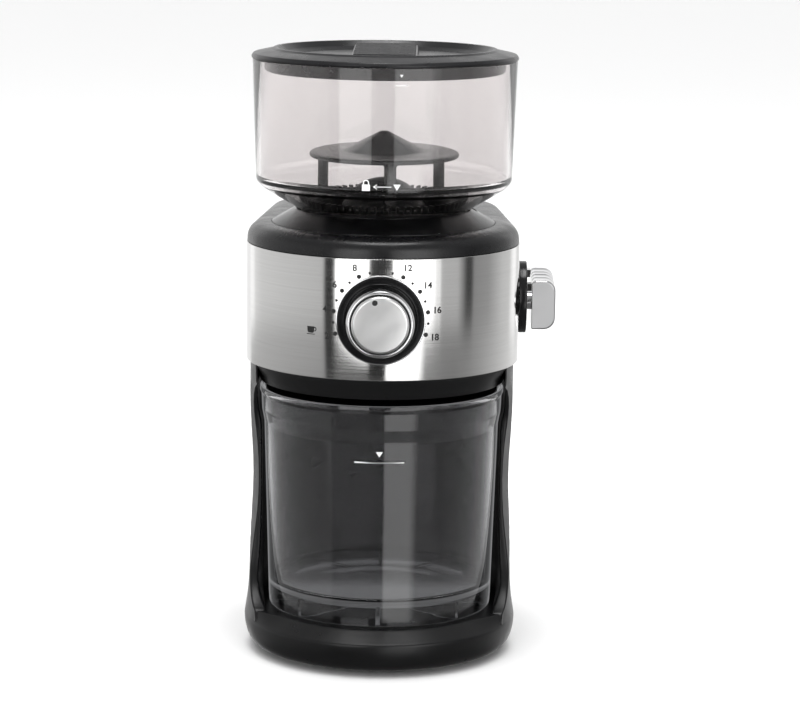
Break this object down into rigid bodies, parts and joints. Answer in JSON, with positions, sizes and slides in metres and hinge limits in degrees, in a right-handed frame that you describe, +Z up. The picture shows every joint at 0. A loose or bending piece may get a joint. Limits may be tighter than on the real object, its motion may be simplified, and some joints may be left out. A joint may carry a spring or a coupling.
{
  "type": "burr coffee grinder",
  "caption": "Counter-top burr coffee grinder: clear bean hopper on a black and brushed-steel body, cups dial with start button, side grind knob and pull-out grounds container.",
  "frame": {"origin": "on the vertical burr and hopper axis, in the plane of the rubber feet", "axes": "+Z up; the dial and the container face -Y; the grind knob points to +X"},
  "size_m": [0.1394, 0.1755, 0.2719],
  "materials": {
    "foot_rubber": "matte",
    "housing_black": "satin moulded",
    "cover_black": "satin moulded",
    "band_steel": "brushed, vertical highlights",
    "fastener_steel": "plated",
    "shaft_steel": "ground",
    "burr_steel": "ground",
    "bush_bronze": "sintered",
    "motor_steel": "plated",
    "magnet_dark": "sintered ferrite",
    "copper_winding": "enamelled winding on a steel core",
    "inner_black": "moulded",
    "gear_nylon": "moulded",
    "chrome": "polished",
    "board_green": "solder mask",
    "hopper_clear": "clear, faint smoke tint",
    "hopper_black": "satin moulded",
    "container_smoke": "dark smoke, clear",
    "container_lid_black": "satin moulded"
  },
  "bodies": {
    "root": {"rubber_feet": "foot_rubber", "bottom_plate": "housing_black", "base_shell": "housing_black", "base_screws": "fastener_steel", "rear_housing": "housing_black", "upper_housing": "housing_black", "steel_band": "band_steel", "top_cover": "cover_black", "collar_ring": "cover_black", "retainer_plate": "fastener_steel", "cover_screws": "fastener_steel", "cord_gland": "housing_black", "gear_plate": "fastener_steel", "motor_can": "motor_steel", "motor_magnets": "magnet_dark", "motor_end_cap": "inner_black", "motor_bushes": "bush_bronze", "motor_screws": "fastener_steel", "idler_pin": "shaft_steel", "shaft_bushes": "bush_bronze", "grind_chamber": "inner_black", "chamber_screws": "fastener_steel", "shaft_bracket": "inner_black", "knob_disc": "housing_black", "grounds_chute": "inner_black", "dial_bezel": "housing_black", "rotary_selector": "inner_black", "control_board": "board_green", "start_switch": "inner_black", "power_board": "board_green", "hopper_switch": "inner_black", "container_switch": "inner_black"},
    "burr_drive": {"burr_shaft": "shaft_steel", "drive_gear": "gear_nylon", "impeller": "gear_nylon", "lower_burr": "burr_steel", "burr_nut": "shaft_steel"},
    "idler": {"idler_gear": "gear_nylon"},
    "motor_rotor": {"motor_rotor": "copper_winding", "motor_shaft": "shaft_steel", "motor_pinion": "bush_bronze"},
    "adjust_ring": {"adjust_ring": "gear_nylon"},
    "upper_burr": {"burr_carrier": "inner_black", "upper_burr": "burr_steel"},
    "grind_knob": {"grind_knob": "chrome", "adjust_shaft": "shaft_steel"},
    "dial": {"dial_knob": "chrome", "button_spring": "shaft_steel"},
    "start_button": {"start_button": "chrome"},
    "lock_ring": {"bayonet_ring": "inner_black"},
    "hopper": {"hopper": "hopper_clear", "hopper_insert": "hopper_black", "hopper_hub": "hopper_black", "bean_guard": "hopper_black"},
    "hopper_lid": {"hopper_lid": "hopper_black"},
    "container": {"container": "container_smoke", "container_lid": "container_lid_black"}
  },
  "joints": [
    {"name": "burr_spin", "type": "hinge", "parent": "root", "child": "burr_drive", "pos_m": [0, 0, 0.15], "axis": [0, 0, 1], "continuous": true},
    {"name": "idler_spin", "type": "hinge", "parent": "root", "child": "idler", "pos_m": [0, 0.042, 0.138], "axis": [0, 0, 1], "continuous": true},
    {"name": "motor_spin", "type": "hinge", "parent": "root", "child": "motor_rotor", "pos_m": [0, 0.0765, 0.1], "axis": [0, 0, 1], "continuous": true},
    {"name": "grind_adjust", "type": "hinge", "parent": "root", "child": "grind_knob", "pos_m": [0.06, 0, 0.1595], "axis": [1, 0, 0], "range_deg": [-75, 75]},
    {"name": "adjust_ring_turn", "type": "hinge", "parent": "root", "child": "adjust_ring", "pos_m": [0, 0, 0.178], "axis": [0, 0, 1], "range_deg": [-15.5, 15.5]},
    {"name": "burr_gap", "type": "slide", "parent": "root", "child": "upper_burr", "axis": [0, 0, 1], "range_m": [-0.0005, 0.0005]},
    {"name": "dial_turn", "type": "hinge", "parent": "root", "child": "dial", "pos_m": [0, -0.065, 0.1595], "axis": [0, -1, 0], "range_deg": [-121.95, 94.85]},
    {"name": "button_press", "type": "slide", "parent": "dial", "child": "start_button", "axis": [0, 1, 0], "range_m": [0, 0.0025], "stiffness_N_per_m": 300, "springref_m": -0.003, "deforming": ["button_spring"]},
    {"name": "hopper_twist", "type": "hinge", "parent": "root", "child": "lock_ring", "pos_m": [0, 0, 0.19], "axis": [0, 0, 1], "range_deg": [0, 13.5]},
    {"name": "hopper_lift", "type": "slide", "parent": "lock_ring", "child": "hopper", "axis": [0, 0, 1], "range_m": [0, 0.12]},
    {"name": "lid_lift", "type": "slide", "parent": "hopper", "child": "hopper_lid", "axis": [0, 0, 1], "range_m": [0, 0.06]},
    {"name": "container_slide", "type": "slide", "parent": "root", "child": "container", "axis": [0, -1, 0], "range_m": [0, 0.13]}
  ],
  "couplings": [
    {"joint": "idler_spin", "follows": "burr_spin", "ratio": -3.2},
    {"joint": "motor_spin", "follows": "burr_spin", "ratio": 13.785},
    {"joint": "grind_adjust", "follows": "burr_gap", "rad_per_m": 2631.6},
    {"joint": "adjust_ring_turn", "follows": "burr_gap", "rad_per_m": -526.32}
  ]
}
